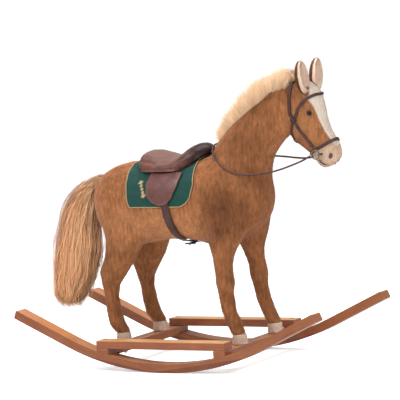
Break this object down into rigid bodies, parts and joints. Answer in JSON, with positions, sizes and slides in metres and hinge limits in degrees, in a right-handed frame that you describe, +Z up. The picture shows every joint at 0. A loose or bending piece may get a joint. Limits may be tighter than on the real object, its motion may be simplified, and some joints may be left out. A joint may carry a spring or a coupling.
{
  "type": "rocking horse",
  "caption": "Plush-covered ride-on horse with saddle, bridle and rein, standing on a bolted bent-wood rocker base",
  "frame": {"origin": "on the floor, at the middle of the bounding box's bottom face, between the two rockers", "axes": "+X is the way the horse faces and the long way of the rockers, +Y is the horse's left, +Z is up"},
  "size_m": [1.1476, 0.478, 0.963],
  "materials": {
    "laminated_beech": "stained and varnished bent laminate, reddish brown with paler top faces",
    "zinc_plated_steel": "bright zinc plate",
    "caramel_plush": "short brushed pile, reddish caramel",
    "blond_hair": "long soft synthetic hair, blond",
    "hoof_felt": "dense short plush, pinkish grey",
    "black_glass": "polished, almost black",
    "nickel_plated_steel": "polished nickel plate",
    "green_felt": "dark green felt with a woven gold edge",
    "brown_leather": "smooth dark brown leather with a soft sheen"
  },
  "bodies": {
    "horse": {"bit_bar": "nickel_plated_steel", "browband": "brown_leather", "cheek_strap_left": "brown_leather", "cheek_strap_right": "brown_leather", "cross_bar_front": "laminated_beech", "cross_bar_rear": "laminated_beech", "ear_left": "caramel_plush", "ear_right": "caramel_plush", "eye_left": "black_glass", "eye_right": "black_glass", "foot_nut_front_left": "zinc_plated_steel", "foot_nut_front_right": "zinc_plated_steel", "foot_nut_rear_left": "zinc_plated_steel", "foot_nut_rear_right": "zinc_plated_steel", "frame_bolt_front_left": "zinc_plated_steel", "frame_bolt_front_right": "zinc_plated_steel", "frame_bolt_rear_left": "zinc_plated_steel", "frame_bolt_rear_right": "zinc_plated_steel", "girth_buckle": "nickel_plated_steel", "girth_free_end": "brown_leather", "girth_strap": "brown_leather", "head": "caramel_plush", "headpiece_strap": "brown_leather", "hoof_front_left": "hoof_felt", "hoof_front_right": "hoof_felt", "hoof_rear_left": "hoof_felt", "hoof_rear_right": "hoof_felt", "inner_frame": "zinc_plated_steel", "leg_front_left": "caramel_plush", "leg_front_right": "caramel_plush", "leg_rear_left": "caramel_plush", "leg_rear_right": "caramel_plush", "mane": "blond_hair", "neck": "caramel_plush", "noseband": "brown_leather", "rein": "brown_leather", "rocker_left": "laminated_beech", "rocker_right": "laminated_beech", "rosette_left": "brown_leather", "rosette_right": "brown_leather", "saddle_blanket": "green_felt", "saddle_panel": "brown_leather", "saddle_seat": "brown_leather", "side_rail_left": "laminated_beech", "side_rail_right": "laminated_beech", "sleeve_nut_front_left": "zinc_plated_steel", "sleeve_nut_front_right": "zinc_plated_steel", "sleeve_nut_rear_left": "zinc_plated_steel", "sleeve_nut_rear_right": "zinc_plated_steel", "throat_lash": "brown_leather", "trunk": "caramel_plush"},
    "tail": {"tail": "blond_hair"},
    "flap_right": {"saddle_flap_right": "brown_leather"},
    "flap_left": {"saddle_flap_left": "brown_leather"},
    "bit_ring_right_body": {"bit_ring_right": "nickel_plated_steel"},
    "bit_ring_left_body": {"bit_ring_left": "nickel_plated_steel"},
    "prong": {"buckle_prong": "nickel_plated_steel"}
  },
  "joints": [
    {"name": "tail_lift", "type": "hinge", "parent": "horse", "child": "tail", "pos_m": [-0.33, 0, 0.609], "axis": [0, 1, 0], "range_deg": [0, 40]},
    {"name": "flap_right_lift", "type": "hinge", "parent": "horse", "child": "flap_right", "pos_m": [-0.018, -0.1015, 0.6267], "axis": [-1, 0, 0], "range_deg": [0, 60]},
    {"name": "flap_left_lift", "type": "hinge", "parent": "horse", "child": "flap_left", "pos_m": [-0.018, 0.1015, 0.6267], "axis": [1, 0, 0], "range_deg": [0, 60]},
    {"name": "bit_ring_right_turn", "type": "hinge", "parent": "horse", "child": "bit_ring_right_body", "pos_m": [0.509, -0.05, 0.668], "axis": [0, 1, 0], "continuous": true},
    {"name": "bit_ring_left_turn", "type": "hinge", "parent": "horse", "child": "bit_ring_left_body", "pos_m": [0.509, 0.05, 0.668], "axis": [0, 1, 0], "continuous": true},
    {"name": "buckle_prong_turn", "type": "hinge", "parent": "horse", "child": "prong", "pos_m": [0.003, -0.039, 0.383], "axis": [-1, 0, 0], "range_deg": [0, 100]}
  ]
}
